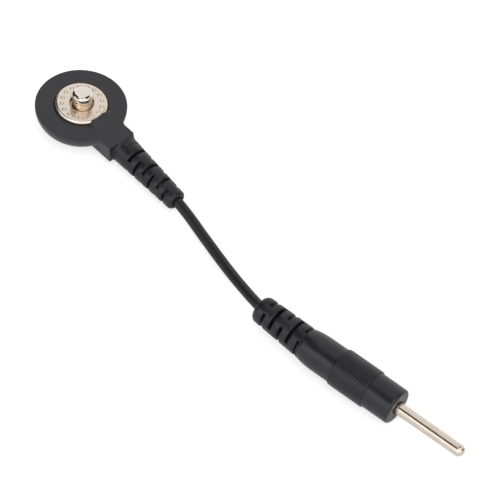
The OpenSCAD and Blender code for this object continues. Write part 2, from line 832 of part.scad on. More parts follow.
module cord_ferrule() {
    color([0.74, 0.70, 0.62])
        on_plug()
            translate([0, 0, jacket_end - ferrule_l])
                difference() {
                    cylinder(h = ferrule_l, d = ferrule_d);
                    translate([0, 0, -thru])
                        cylinder(h = ferrule_l + 2 * thru, r = cord_d / 2 + fit);
                }
}

snap_housing();
snap_core();
stud_plate();
snap_stud();
backing_washer();
rivet_post();
ring_terminal();
snap_boot();
cord_jacket();
cord_conductor();
plug_boot();
plug_grip();
pin_holder();
contact_pin();
series_resistor();
crimp_sleeve();
cord_ferrule();
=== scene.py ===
"""Looks of a short adapter lead: a snap stud in a moulded housing, a cord and a pin plug.

Everything is in metres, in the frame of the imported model: the origin lies on the stud's axis
in the plane that the lead rests on, +Z is up and +X runs from the stud towards the plug.
"""

import json
import math
import random

import bpy
from mathutils import Matrix, Vector

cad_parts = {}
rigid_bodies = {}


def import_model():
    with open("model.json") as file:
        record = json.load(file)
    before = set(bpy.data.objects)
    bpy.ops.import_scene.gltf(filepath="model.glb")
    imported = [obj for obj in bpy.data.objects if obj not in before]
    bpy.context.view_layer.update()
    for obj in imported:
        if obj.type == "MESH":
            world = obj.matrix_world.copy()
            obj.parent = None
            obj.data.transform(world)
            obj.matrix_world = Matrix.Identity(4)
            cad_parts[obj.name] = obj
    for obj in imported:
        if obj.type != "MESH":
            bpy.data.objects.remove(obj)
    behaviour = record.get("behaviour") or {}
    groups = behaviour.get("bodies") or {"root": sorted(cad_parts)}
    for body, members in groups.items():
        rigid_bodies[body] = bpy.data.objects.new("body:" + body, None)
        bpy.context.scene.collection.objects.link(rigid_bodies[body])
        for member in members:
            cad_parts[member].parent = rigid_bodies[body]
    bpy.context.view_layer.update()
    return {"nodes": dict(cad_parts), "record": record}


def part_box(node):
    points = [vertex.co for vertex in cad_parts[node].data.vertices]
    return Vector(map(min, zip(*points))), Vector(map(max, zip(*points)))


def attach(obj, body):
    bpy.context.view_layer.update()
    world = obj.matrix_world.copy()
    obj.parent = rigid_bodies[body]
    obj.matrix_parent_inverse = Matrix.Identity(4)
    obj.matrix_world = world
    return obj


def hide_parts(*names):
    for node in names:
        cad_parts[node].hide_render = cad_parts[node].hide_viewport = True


bl_info = {
    "name": "Adapter Lead",
    "version": (1, 0, 0),
    "blender": (4, 5, 0),
    "location": "View3D > Sidebar > Lead",
    "description": "Finishes the pieces of a snap stud adapter lead",
    "category": "Object",
}

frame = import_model()
NODES = frame["nodes"]
MOUNTS = {mount["name"]: mount for mount in frame["record"]["mounts"]}
BODY = "root"
MM = 0.001

# Middle of the lead, which the lamp faces and the floor lies under
MIDDLE = Vector((0.04, 0, 0))

# Height about which the pressed pieces lean
SEAT_HEIGHT = 4.9 * MM

# Route of the cord's middle line, in millimetres, from the crimp in the snap housing to the plug
CORD_ROUTE = [
    (5.9, 0.45, 2.7), (7.6, 0.45, 2.7), (9.8, 0.55, 2.4), (12, 0.47, 2.33), (14.4, 0.38, 2.26),
    (16.7, 0.29, 2.2), (19, 0.2, 2.13), (21.3, 0.11, 2.06), (23.3, 0.01, 2),
    (25.3, -0.24, 1.88), (27.5, -0.6, 1.72), (30, -1.1, 1.56), (32.5, -1.59, 1.47),
    (35, -2.11, 1.46), (37.5, -2.65, 1.56), (40, -3.2, 1.8), (42.5, -3.73, 2.15),
    (44.5, -4.16, 2.5), (46, -4.45, 2.79), (47.3, -4.68, 3.02), (48.6, -4.76, 3.15),
    (50.2, -4.64, 3.18), (52.5, -4.46, 3.18), (54.8, -4.28, 3.18), (57.15, -4.11, 3.18),
    (60.12, -3.71, 3.18),
]


# ---------------------------------------------------------------- settings


class LeadCord(bpy.types.PropertyGroup):
    """Sizes and colour of the cord."""

    diameter: bpy.props.FloatProperty(
        name="Diameter", description="Diameter of the cord's jacket", default=0.00175,
        min=0.0005, unit="LENGTH", precision=5)
    colour: bpy.props.FloatVectorProperty(
        name="Colour", description="Colour of the jacket", default=(0.0112, 0.0104, 0.0150),
        size=3, min=0, max=1, subtype="COLOR")


class LeadPlastic(bpy.types.PropertyGroup):
    """Finish of the moulded pieces."""

    housing_colour: bpy.props.FloatVectorProperty(
        name="Housing", description="Colour of the snap housing",
        default=(0.0213, 0.0210, 0.0250), size=3, min=0, max=1, subtype="COLOR")
    plug_colour: bpy.props.FloatVectorProperty(
        name="Plug", description="Colour of the plug's grip",
        default=(0.0106, 0.0101, 0.0145), size=3, min=0, max=1, subtype="COLOR")
    boot_colour: bpy.props.FloatVectorProperty(
        name="Boots", description="Colour of the slotted boots",
        default=(0.0140, 0.0137, 0.0172), size=3, min=0, max=1, subtype="COLOR")
    core_colour: bpy.props.FloatVectorProperty(
        name="Inner mouldings", description="Colour of the hidden inner mouldings",
        default=(0.05, 0.05, 0.052), size=3, min=0, max=1, subtype="COLOR")
    edge_round: bpy.props.FloatProperty(
        name="Edge rounding", description="Radius on the moulded pieces' edges", default=0.0001,
        min=0, unit="LENGTH", precision=5)
    grain: bpy.props.FloatProperty(
        name="Grain", description="Size of the moulded grain", default=0.00012,
        min=0.00001, unit="LENGTH", precision=5)


class LeadMetal(bpy.types.PropertyGroup):
    """Finish of the plated pieces."""

    plate_colour: bpy.props.FloatVectorProperty(
        name="Plate", description="Colour of the stud plate", default=(0.83, 0.74, 0.648),
        size=3, min=0, max=1, subtype="COLOR")
    stud_colour: bpy.props.FloatVectorProperty(
        name="Stud", description="Colour of the stud", default=(0.835, 0.778, 0.722),
        size=3, min=0, max=1, subtype="COLOR")
    pin_colour: bpy.props.FloatVectorProperty(
        name="Pin", description="Colour of the contact pin", default=(0.765, 0.678, 0.592),
        size=3, min=0, max=1, subtype="COLOR")
    plate_hole: bpy.props.FloatProperty(
        name="Plate hole", description="Radius of the hole in the plate", default=0.00193,
        min=0.001, unit="LENGTH", precision=5)
    plate_shift: bpy.props.FloatVectorProperty(
        name="Plate shift", description="How far the plate sits off centre, along X and Y",
        default=(-0.03 * MM, 0.12 * MM), size=2, unit="LENGTH", precision=5)
    plate_lean: bpy.props.FloatVectorProperty(
        name="Plate lean", description="How far the plate leans towards +X and +Y",
        default=(0.026, 0.023), size=2)
    stud_shift: bpy.props.FloatVectorProperty(
        name="Stud shift", description="How far the stud sits off centre, along X and Y",
        default=(0.29 * MM, -0.01 * MM), size=2, unit="LENGTH", precision=5)
    stud_lean: bpy.props.FloatVectorProperty(
        name="Stud lean", description="How far the stud leans towards +X and +Y",
        default=(-0.067, 0.054), size=2)
    pip_count: bpy.props.IntProperty(
        name="Pips", description="Number of pips on the plate", default=16, min=4, max=32)
    pip_ring: bpy.props.FloatProperty(
        name="Pip ring", description="Radius of the ring of pips", default=0.003275,
        min=0.002, unit="LENGTH", precision=5)
    pip_width: bpy.props.FloatProperty(
        name="Pip width", description="Width of one pip", default=0.00076, min=0,
        unit="LENGTH", precision=5)
    pip_height: bpy.props.FloatProperty(
        name="Pip height", description="Height of one pip", default=0.00007, min=0,
        unit="LENGTH", precision=5)
    head_radius: bpy.props.FloatProperty(
        name="Stud head", description="Radius of the stud's head",
        default=MOUNTS["snap_stud"]["dims"]["r_mm"] * MM, min=0.001, unit="LENGTH",
        precision=5)
    neck_radius: bpy.props.FloatProperty(
        name="Stud neck", description="Radius of the stud's neck", default=0.00155,
        min=0.001, unit="LENGTH", precision=5)
    neck_colour: bpy.props.FloatVectorProperty(
        name="Stud neck colour", description="Warmer colour of the stud below its head",
        default=(0.86, 0.75, 0.625), size=3, min=0, max=1, subtype="COLOR")
    flange_radius: bpy.props.FloatProperty(
        name="Stud flange", description="Radius of the stud's flange", default=0.0031,
        min=0.001, unit="LENGTH", precision=5)
    pin_radius: bpy.props.FloatProperty(
        name="Pin", description="Radius of the contact pin",
        default=MOUNTS["contact_pin"]["dims"]["r_mm"] * MM, min=0.0005, unit="LENGTH",
        precision=5)
    pin_length: bpy.props.FloatProperty(
        name="Pin length", description="Length of the pin's straight part",
        default=MOUNTS["contact_pin"]["dims"]["length_mm"] * MM, min=0.001, unit="LENGTH",
        precision=5)


class LeadStage(bpy.types.PropertyGroup):
    """Camera and light."""

    lens: bpy.props.FloatProperty(
        name="Lens", description="Focal length on a 36 mm sensor", default=205.74, min=10,
        unit="CAMERA")
    floor_size: bpy.props.FloatProperty(
        name="Floor", description="Width of the floor", default=3.0, min=0.5, unit="LENGTH")
    sky: bpy.props.FloatProperty(
        name="Sky", description="Brightness of the white tent", default=0.985, min=0, max=4)


# ---------------------------------------------------------------- helpers


def deselect():
    """Leave nothing selected."""
    for item in bpy.context.view_layer.objects:
        item.select_set(False)
    bpy.context.view_layer.objects.active = None


def make_active(obj):
    """Select one object alone."""
    deselect()
    obj.select_set(True)
    bpy.context.view_layer.objects.active = obj


def settle(obj, name):
    """Put a new piece's place into its mesh and let it ride on the body."""
    make_active(obj)
    bpy.ops.object.transform_apply(location=True, rotation=True, scale=True)
    obj.name = name
    obj.data.name = name
    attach(obj, BODY)


def arc(centre, radii, start, stop, count):
    """Points along an ellipse's arc between two angles in degrees."""
    points = []
    for i in range(count + 1):
        angle = math.radians(start + (stop - start) * i / count)
        points.append((centre[0] + radii[0] * math.cos(angle),
                       centre[1] + radii[1] * math.sin(angle)))
    return points


def line(start, stop, count):
    """Evenly spaced points from a start to a stop, without the stop."""
    return [(start[0] + (stop[0] - start[0]) * i / count,
             start[1] + (stop[1] - start[1]) * i / count) for i in range(count)]


def turned(name, profile, steps, place=None, angle=2 * math.pi):
    """Spin a profile round Z and put the shape in its place. A minus angle goes from X to Y."""
    deselect()
    bpy.ops.mesh.primitive_plane_add(size=MM)
    obj = bpy.context.object
    bpy.ops.object.mode_set(mode="EDIT")
    bpy.ops.mesh.select_all(action="SELECT")
    bpy.ops.mesh.merge(type="CENTER")
    bpy.ops.transform.translate(value=(profile[0][0], 0, profile[0][1]))
    for here, there in zip(profile, profile[1:]):
        step = (there[0] - here[0], 0, there[1] - here[1])
        bpy.ops.mesh.extrude_vertices_move(TRANSFORM_OT_translate={"value": step})
    bpy.ops.mesh.select_all(action="SELECT")
    bpy.ops.mesh.spin(steps=steps, angle=angle, center=(0, 0, 0), axis=(0, 0, 1))
    bpy.ops.mesh.select_all(action="SELECT")
    bpy.ops.mesh.remove_doubles(threshold=1e-6)
    bpy.ops.mesh.select_all(action="SELECT")
    bpy.ops.mesh.normals_make_consistent(inside=False)
    bpy.ops.object.mode_set(mode="OBJECT")
    if place is not None:
        obj.matrix_world = place
    obj.name = name
    return obj


def smooth(obj, angle=30):
    """Shade a piece smoothly and keep its real edges crisp."""
    make_active(obj)
    bpy.ops.object.shade_smooth_by_angle(angle=math.radians(angle))


def soften(obj, width):
    """Round a CAD node's sharp edges with live modifiers and shade it smoothly."""
    for face in obj.data.polygons:
        face.use_smooth = True
    weld = obj.modifiers.new("Weld", "WELD")
    weld.merge_threshold = 1e-7
    if width > 0:
        bevel = obj.modifiers.new("Edges", "BEVEL")
        bevel.width = width
        bevel.segments = 3
        bevel.limit_method = "ANGLE"
        bevel.angle_limit = math.radians(35)
        bevel.harden_normals = False
    normals = obj.modifiers.new("Normals", "WEIGHTED_NORMAL")
    normals.keep_sharp = False
    normals.weight = 80


def dress(obj, material):
    """Give a piece one material in its first slot."""
    if obj.data.materials:
        obj.data.materials[0] = material
        while len(obj.data.materials) > 1:
            obj.data.materials.pop()
    else:
        obj.data.materials.append(material)


# ---------------------------------------------------------------- materials


def new_material(name):
    """An empty node material with its shader and output."""
    material = bpy.data.materials.new(name)
    material.use_nodes = True
    shader = material.node_tree.nodes["Principled BSDF"]
    return material, material.node_tree, shader


def noise_of(tree, scale, detail=3.0, rough=0.5):
    """A noise on the piece's own coordinates."""
    place = tree.nodes.new("ShaderNodeTexCoord")
    noise = tree.nodes.new("ShaderNodeTexNoise")
    noise.inputs["Scale"].default_value = scale
    noise.inputs["Detail"].default_value = detail
    noise.inputs["Roughness"].default_value = rough
    tree.links.new(place.outputs["Object"], noise.inputs["Vector"])
    return noise


def ramp_of(tree, source, stops):
    """Map a value through colour stops, each a position and a colour."""
    ramp = tree.nodes.new("ShaderNodeValToRGB")
    ramp.color_ramp.elements[0].position = stops[0][0]
    ramp.color_ramp.elements[0].color = (*stops[0][1], 1)
    ramp.color_ramp.elements[1].position = stops[-1][0]
    ramp.color_ramp.elements[1].color = (*stops[-1][1], 1)
    for position, colour in stops[1:-1]:
        ramp.color_ramp.elements.new(position).color = (*colour, 1)
    tree.links.new(source, ramp.inputs["Fac"])
    return ramp


def range_of(tree, source, low, high):
    """Map a 0 to 1 value to a range."""
    node = tree.nodes.new("ShaderNodeMapRange")
    node.inputs["To Min"].default_value = low
    node.inputs["To Max"].default_value = high
    tree.links.new(source, node.inputs["Value"])
    return node


def bump_of(tree, shader, height, strength, distance):
    """Feed a height to the shader's normal, and return the bump."""
    bump = tree.nodes.new("ShaderNodeBump")
    bump.inputs["Strength"].default_value = strength
    bump.inputs["Distance"].default_value = distance
    tree.links.new(height, bump.inputs["Height"])
    tree.links.new(bump.outputs["Normal"], shader.inputs["Normal"])
    return bump


def plastic(name, colour, roughness, grain, depth=0.004 * MM, patchy=0.12, ior=1.5):
    """Satin moulded plastic: grain, a slow change of gloss and a slight change of tone."""
    material, tree, shader = new_material(name)
    fine = noise_of(tree, 1 / grain, detail=2.0)
    slow = noise_of(tree, 420, rough=0.6)
    dark = tuple(c * (1 - patchy) for c in colour)
    light = tuple(c * (1 + patchy) for c in colour)
    tone = ramp_of(tree, slow.outputs["Fac"], [(0.35, dark), (0.65, light)])
    tree.links.new(tone.outputs["Color"], shader.inputs["Base Color"])
    gloss = range_of(tree, slow.outputs["Fac"], roughness - 0.05, roughness + 0.07)
    tree.links.new(gloss.outputs["Result"], shader.inputs["Roughness"])
    bump_of(tree, shader, fine.outputs["Fac"], 0.5, depth)
    shader.inputs["IOR"].default_value = ior
    return material


def by_height(tree, start, stop, low, high):
    """A value that goes from low to high between two heights on the piece's own coordinates."""
    place = tree.nodes.new("ShaderNodeTexCoord")
    split = tree.nodes.new("ShaderNodeSeparateXYZ")
    tree.links.new(place.outputs["Object"], split.inputs["Vector"])
    node = range_of(tree, split.outputs["Z"], low, high)
    node.inputs["From Min"].default_value = start
    node.inputs["From Max"].default_value = stop
    return node.outputs["Result"]


def shade_by_height(tree, tone, stops):
    """Multiply a colour by stops along the piece's own height, each a height and a colour."""
    start = stops[0][0]
    stop = stops[-1][0]
    tint = ramp_of(tree, by_height(tree, start, stop, 0, 1),
                   [((z - start) / (stop - start), colour) for z, colour in stops])
    mix = tree.nodes.new("ShaderNodeMix")
    mix.data_type = "RGBA"
    mix.blend_type = "MULTIPLY"
    mix.inputs["Factor"].default_value = 1.0
    tree.links.new(tone, mix.inputs["A"])
    tree.links.new(tint.outputs["Color"], mix.inputs["B"])
    return mix.outputs["Result"]


def wrinkle_below(tree, shader, scratches, start, stop, size, depth):
    """Wrinkle the metal below a height, over its scratches."""
    folds = noise_of(tree, 1 / size, detail=1.0)
    bump = bump_of(tree, shader, folds.outputs["Fac"], 1.0, depth)
    tree.links.new(by_height(tree, start, stop, 1, 0), bump.inputs["Strength"])
    tree.links.new(scratches.outputs["Normal"], bump.inputs["Normal"])


def metal(name, colour, low, high, scratch=6000.0, depth=0.0004 * MM, stops=None, folds=None):
    """Plated metal: gloss between low and high, faint scratches and a darker tone in patches."""
    material, tree, shader = new_material(name)
    cloud = noise_of(tree, 900, detail=4.0, rough=0.6)
    fine = noise_of(tree, scratch)
    worn = (colour[0] * 0.93, colour[1] * 0.91, colour[2] * 0.88)
    tone = ramp_of(tree, cloud.outputs["Fac"], [(0.3, worn), (0.6, colour)]).outputs["Color"]
    if stops:
        tone = shade_by_height(tree, tone, stops)
    tree.links.new(tone, shader.inputs["Base Color"])
    gloss = range_of(tree, cloud.outputs["Fac"], low, high)
    tree.links.new(gloss.outputs["Result"], shader.inputs["Roughness"])
    scratches = bump_of(tree, shader, fine.outputs["Fac"], 0.4, depth)
    if folds:
        wrinkle_below(tree, shader, scratches, *folds)
    shader.inputs["Metallic"].default_value = 1.0
    return material


# ---------------------------------------------------------------- stage


def set_camera(lens):
    """The camera stands in front of the plug's side and looks down on the lead."""
    azimuth = math.radians(41.2)
    elevation = math.radians(52.62)
    roll = math.radians(6.83)
    place = (0.217062, -0.202696, 0.358564)
    data = bpy.data.cameras.new("camera")
    data.sensor_width = 36
    data.lens = lens
    data.clip_start = 0.01
    camera = bpy.data.objects.new("camera", data)
    bpy.context.scene.collection.objects.link(camera)
    turn = Matrix.Rotation(azimuth, 4, "Z") @ Matrix.Rotation(math.pi / 2 - elevation, 4, "X")
    turn = turn @ Matrix.Rotation(roll, 4, "Z")
    camera.matrix_world = Matrix.Translation(place) @ turn
    bpy.context.scene.camera = camera


def tent_panel(tree, direction, inner, outer, brightness):
    """A factor that goes from 1 to the panel's brightness inside a cone round a direction."""
    coords = tree.nodes.new("ShaderNodeTexCoord")
    dot = tree.nodes.new("ShaderNodeVectorMath")
    dot.operation = "DOT_PRODUCT"
    dot.inputs[1].default_value = Vector(direction).normalized()
    tree.links.new(coords.outputs["Generated"], dot.inputs[0])
    edge = tree.nodes.new("ShaderNodeMapRange")
    edge.interpolation_type = "SMOOTHSTEP"
    edge.inputs["From Min"].default_value = math.cos(math.radians(outer))
    edge.inputs["From Max"].default_value = math.cos(math.radians(inner))
    edge.inputs["To Min"].default_value = 1.0
    edge.inputs["To Max"].default_value = brightness
    tree.links.new(dot.outputs["Value"], edge.inputs["Value"])
    return edge.outputs["Result"]


# Panels of the white tent: direction, inner and outer half angle in degrees, brightness
TENT_PANELS = [
    ((-0.30, -0.43, 0.85), 12, 21, 0.03),
    ((-0.62, -0.02, 0.79), 12, 15, 0.04),
    ((-0.86, -0.05, 0.50), 14, 22, 0.08),
    ((-0.96, -0.14, 0.20), 18, 26, 0.08),
    ((-0.80, -0.53, 0.26), 14, 21, 0.1),
    ((-0.03, 0.50, 0.87), 12, 15, 0.06),
    ((0.12, 0.42, 0.90), 9, 12, 0.06),
    ((-0.08, 0.04, 1.00), 7, 11, 0.4),
    ((0.40, -0.43, 0.81), 12, 21, 0.4),
    ((0.71, 0.66, 0.24), 17, 23, 0.06),
    ((-0.33, -0.80, 0.50), 8, 16, 1.15),
    ((0.42, -0.35, 0.84), 22, 32, 1.6),
    ((0.30, -0.72, 0.62), 20, 34, 1.6),
    ((-0.40, 0.66, 0.64), 8, 24, 0.9),
]


def shiny_rays(tree, path):
    """1 for a ray that a mirror or glass sends on, and 0 for any other."""
    total = tree.nodes.new("ShaderNodeMath")
    total.operation = "ADD"
    total.use_clamp = True
    tree.links.new(path.outputs["Is Glossy Ray"], total.inputs[0])
    tree.links.new(path.outputs["Is Transmission Ray"], total.inputs[1])
    return total.outputs["Value"]


def set_world(strength):
    """A white tent with a few dark openings, and plain white behind everything."""
    world = bpy.data.worlds.new("tent")
    bpy.context.scene.world = world
    world.use_nodes = True
    tree = world.node_tree
    tent = tree.nodes["Background"]
    value = None
    for panel in TENT_PANELS:
        patch = tent_panel(tree, *panel)
        if value is None:
            value = patch
            continue
        product = tree.nodes.new("ShaderNodeMath")
        product.operation = "MULTIPLY"
        tree.links.new(value, product.inputs[0])
        tree.links.new(patch, product.inputs[1])
        value = product.outputs["Value"]
    tint = ramp_of(tree, value, [(0.25, (1.0, 0.76, 0.56)), (0.85, (1, 1, 1))])
    tree.links.new(tint.outputs["Color"], tent.inputs["Color"])
    path = tree.nodes.new("ShaderNodeLightPath")
    level = range_of(tree, shiny_rays(tree, path), strength, 1.0)
    scaled = tree.nodes.new("ShaderNodeMath")
    scaled.operation = "MULTIPLY"
    tree.links.new(value, scaled.inputs[0])
    tree.links.new(level.outputs["Result"], scaled.inputs[1])
    tree.links.new(scaled.outputs["Value"], tent.inputs["Strength"])
    white = tree.nodes.new("ShaderNodeBackground")
    white.inputs["Color"].default_value = (1, 1, 1, 1)
    choose = tree.nodes.new("ShaderNodeMixShader")
    tree.links.new(path.outputs["Is Camera Ray"], choose.inputs["Fac"])
    tree.links.new(tent.outputs["Background"], choose.inputs[1])
    tree.links.new(white.outputs["Background"], choose.inputs[2])
    tree.links.new(choose.outputs["Shader"], tree.nodes["World Output"].inputs["Surface"])


def floor_material():
    """White paper: it takes a soft shadow, and glows a little so that it stays white."""
    camera_glow = 0.48
    plain_glow = 0.05
    mirror_glow = 0.12
    material, tree, shader = new_material("floor_paper")
    shader.inputs["Base Color"].default_value = (0.9, 0.9, 0.9, 1)
    shader.inputs["Roughness"].default_value = 1.0
    shader.inputs["Specular IOR Level"].default_value = 0.0
    path = tree.nodes.new("ShaderNodeLightPath")
    mirrored = range_of(tree, shiny_rays(tree, path), plain_glow, mirror_glow)
    glow = tree.nodes.new("ShaderNodeMath")
    glow.operation = "MULTIPLY_ADD"
    glow.inputs[1].default_value = camera_glow
    tree.links.new(path.outputs["Is Camera Ray"], glow.inputs[0])
    tree.links.new(mirrored.outputs["Result"], glow.inputs[2])
    shader.inputs["Emission Color"].default_value = (1, 1, 1, 1)
    tree.links.new(glow.outputs["Value"], shader.inputs["Emission Strength"])
    return material


def add_lamp(name, place, size, power):
    """A soft square lamp that faces the lead."""
    data = bpy.data.lights.new(name, "AREA")
    data.shape = "SQUARE"
    data.size = size
    data.energy = power
    lamp = bpy.data.objects.new(name, data)
    bpy.context.scene.collection.objects.link(lamp)
    lamp.location = place
    lamp.rotation_euler = (MIDDLE - Vector(place)).to_track_quat("-Z", "Y").to_euler()


class LEAD_OT_stage(bpy.types.Operator):
    """Set up the floor, the light and the camera"""

    bl_idname = "lead.stage"
    bl_label = "Stage"

    def execute(self, context):
        sizes = context.scene.lead_stage
        set_camera(sizes.lens)
        set_world(sizes.sky)
        deselect()
        below = MIDDLE - Vector((0, 0, 0.01 * MM))
        bpy.ops.mesh.primitive_plane_add(size=sizes.floor_size, location=below)
        floor = context.object
        floor.name = "floor"
        dress(floor, floor_material())
        add_lamp("key", (-0.25, -0.52, 0.30), size=0.35, power=0.2)
        bpy.context.scene.view_settings.view_transform = "Standard"
        return {"FINISHED"}


# ---------------------------------------------------------------- pieces


class LEAD_OT_cord(bpy.types.Operator):
    """Draw the cord's jacket as one smooth tube along its route"""

    bl_idname = "lead.cord"
    bl_label = "Cord"

    def execute(self, context):
        sizes = context.scene.lead_cord
        curve = bpy.data.curves.new("cord", "CURVE")
        curve.dimensions = "3D"
        curve.bevel_depth = sizes.diameter / 2
        curve.bevel_resolution = 8
        curve.resolution_u = 8
        curve.use_fill_caps = True
        spline = curve.splines.new("BEZIER")
        spline.bezier_points.add(len(CORD_ROUTE) - 1)
        for i, point in enumerate(CORD_ROUTE):
            knot = spline.bezier_points[i]
            knot.co = Vector(point) * MM
            knot.handle_left_type = "AUTO"
            knot.handle_right_type = "AUTO"
        cord = bpy.data.objects.new("cord", curve)
        context.scene.collection.objects.link(cord)
        black = plastic("cord_black", sizes.colour, 0.36, grain=0.2 * MM, depth=0.003 * MM,
                        ior=1.42)
        dress(cord, black)
        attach(cord, BODY)
        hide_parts("cord_jacket")
        return {"FINISHED"}


class LEAD_OT_housing(bpy.types.Operator):
    """Finish the snap housing"""

    bl_idname = "lead.housing"
    bl_label = "Snap housing"

    def execute(self, context):
        look = context.scene.lead_plastic
        soften(NODES["snap_housing"], look.edge_round)
        dress(NODES["snap_housing"],
              plastic("housing_black", look.housing_colour, 0.33, look.grain))
        return {"FINISHED"}


def close_ends(obj, sides):
    """Cap the open ends of a swept shape."""
    make_active(obj)
    bpy.ops.object.mode_set(mode="EDIT")
    bpy.ops.mesh.select_all(action="SELECT")
    bpy.ops.mesh.fill_holes(sides=sides)
    bpy.ops.mesh.select_all(action="SELECT")
    bpy.ops.mesh.normals_make_consistent(inside=False)
    bpy.ops.object.mode_set(mode="OBJECT")


def tear_edge(obj, inner, outer, base, width, steps):
    """Tear the inner edge of a swept skin, and let it die out towards both ends."""
    jag = 0.09 * MM
    drawback = 0.34 * MM
    skin = 0.01 * MM
    rng = random.Random(11)
    tears = []
    tear = 0.0
    for i in range(steps + 1):
        tear = 0.5 * tear + rng.uniform(-jag, jag)
        tears.append(tear)
    for vertex in obj.data.vertices:
        place = vertex.co
        share = min(1.0, max(0.0, math.atan2(place.y, place.x) / width))
        fade = min(1.0, 5 * share, 3 * (1 - share))
        reach = place.xy.length
        back = tears[round(share * steps)] + drawback * (1 - fade)
        place.xy *= 1 + back * (outer - reach) / (outer - inner) / reach
        if place.z > base:
            place.z = base + skin + fade * (place.z - base)


def ragged_flash(inner, outer, start, stop, base):
    """A thin torn skin of plastic over the plate's rim, swept round part of the housing."""
    steps = 144
    width = math.radians(stop - start)
    rise = 0.55 * MM
    sunk = base - 0.1 * MM
    section = [
        (inner, base + rise),
        ((inner + outer) / 2, base + rise * 0.62),
        (outer, base),
        (outer, sunk),
        (inner + 0.12 * MM, sunk),
        (inner + 0.05 * MM, base + rise * 0.7),
        (inner, base + rise),
    ]
    turn = Matrix.Rotation(math.radians(start), 4, "Z")
    obj = turned("moulding_flash", section, steps, turn, -width)
    close_ends(obj, len(section))
    tear_edge(obj, inner, outer, base, width, steps)
    return obj


class LEAD_OT_flash(bpy.types.Operator):
    """Sweep and tear the skin of plastic over the plate's rim"""

    bl_idname = "lead.flash"
    bl_label = "Moulding flash"

    def execute(self, context):
        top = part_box("snap_housing")[1][2]
        flash = ragged_flash(3.98 * MM, 5.2 * MM, -26, 36, top)
        smooth(flash, 50)
        dress(flash, NODES["snap_housing"].data.materials[0])
        settle(flash, "moulding_flash")
        return {"FINISHED"}


def plate_profile(rim, bottom, top, hole):
    """Half section of the plate: rounded hole, flat top, rolled rim and underside."""
    sheet = 0.3 * MM
    lip = 0.18 * MM
    roll = (top - bottom) / 2
    return (
        [(hole, top - sheet)]
        + arc((hole + lip, top - lip), (lip, lip), 180, 90, 8)
        + line((hole + lip, top), (rim - roll, top), 72)[1:]
        + arc((rim - roll, top - roll), (roll, roll), 90, -90, 20)
        + [(rim - roll, top - sheet), (hole, top - sheet)]
    )


def raise_pips(obj, count, ring, width, height, top):
    """Press a ring of low round pips up out of the plate, each in a shallow round hollow."""
    foot = 0.5
    slope = 0.3
    hollow = 0.65 * height
    for vertex in obj.data.vertices:
        place = vertex.co
        if place.z < top - 0.01 * MM:
            continue
        turn = math.atan2(place.y, place.x) / (2 * math.pi) * count
        angle = (math.floor(turn) + 0.5) * 2 * math.pi / count
        offset = (Vector((math.cos(angle), math.sin(angle))) * ring - place.xy).length
        share = 1 - offset / (width / 2)
        if share > foot:
            rise = min(1.0, (share - foot) / slope)
            place.z += height * rise * rise * (3 - 2 * rise)
        elif share > 0:
            place.z -= hollow * math.sin(math.pi * share / foot)


def stud_profile(crown, plate_top, head, neck, flange):
    """Half section of the drawn stud: flange, fillet, neck, head, shoulder and hollow."""
    wall = 0.3 * MM
    shoulder = 0.45 * MM
    band = 0.5 * MM
    flat = 0.8 * MM
    sheet = 0.4 * MM
    fillet = 0.2 * MM
    edge = 0.02 * MM
    floor = plate_top - sheet
    band_top = crown - shoulder
    swell = head - neck
    hollow = neck - wall
    return (
        [(hollow, floor - sheet), (flange, floor - sheet), (flange, floor)]
        + line((flange - edge, floor), (neck + fillet, floor), 8)
        + arc((neck + fillet, floor + fillet), (fillet, fillet), 270, 180, 8)
        + line((neck, floor + fillet), (neck, band_top - band - 2 * swell), 8)[1:]
        + arc((head, band_top - band - 2 * swell), (-swell, 2 * swell), 0, 90, 10)
        + line((head, band_top - band), (head, band_top), 3)[1:]
        + arc((flat, band_top), (head - flat, shoulder), 0, 90, 14)
        + line((flat, crown), (0, crown), 6)[1:]
        + [(0, crown), (0, crown - wall), (flat, crown - wall), (head - wall, band_top)]
        + [(head - wall, band_top - band), (hollow, band_top - band - 2 * swell)]
        + [(hollow, floor - sheet)]
    )


def seat(place, lean):
    """Where a pressed piece sits: a hair off centre, and leaning over towards +X and +Y."""
    foot = Matrix.Translation((place[0], place[1], SEAT_HEIGHT))
    turn = Matrix.Rotation(lean[0], 4, "Y") @ Matrix.Rotation(-lean[1], 4, "X")
    return foot @ turn @ Matrix.Translation((0, 0, -SEAT_HEIGHT))


def plate_top():
    """Height of the plate's flat top, below its pips."""
    pip = 0.09 * MM
    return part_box("stud_plate")[1][2] - pip


class LEAD_OT_plate(bpy.types.Operator):
    """Turn the stud's plate and raise its pips"""

    bl_idname = "lead.plate"
    bl_label = "Stud plate"

    def execute(self, context):
        look = context.scene.lead_metal
        low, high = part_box("stud_plate")
        top = plate_top()
        rim = high[0] - 0.03 * MM
        profile = plate_profile(rim, low[2], top, look.plate_hole)
        plate = turned("plate", profile, 360, seat(look.plate_shift, look.plate_lean))
        raise_pips(plate, look.pip_count, look.pip_ring, look.pip_width, look.pip_height, top)
        smooth(plate)
        dress(plate, metal("plate_nickel", look.plate_colour, 0.2, 0.33, scratch=3000.0,
                           depth=0.0009 * MM))
        settle(plate, "plate")
        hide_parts("stud_plate")
        return {"FINISHED"}


def stud_nickel(look, top, crown):
    """The stud's plating: bright on the head, warm and wrinkled on the neck, and darkened by
    painted shade in the moat, where it sinks into the plate's hole.
    """
    warm = tuple(look.neck_colour)
    # Painted shade: the stud's colour is multiplied down to this below the plate's top, where it
    # sinks into the moat
    moat_shade = (0.46, 0.38, 0.29)
    stops = [
        (top - 0.3 * MM, moat_shade),
        (top - 0.05 * MM, warm),
        (crown - 1.1 * MM, warm),
        (crown - 0.8 * MM, (1, 1, 1)),
    ]
    folds = (crown - 1.2 * MM, crown - 1.0 * MM, 0.35 * MM, 0.11 * MM)
    return metal("stud_nickel", look.stud_colour, 0.07, 0.14, stops=stops, folds=folds)


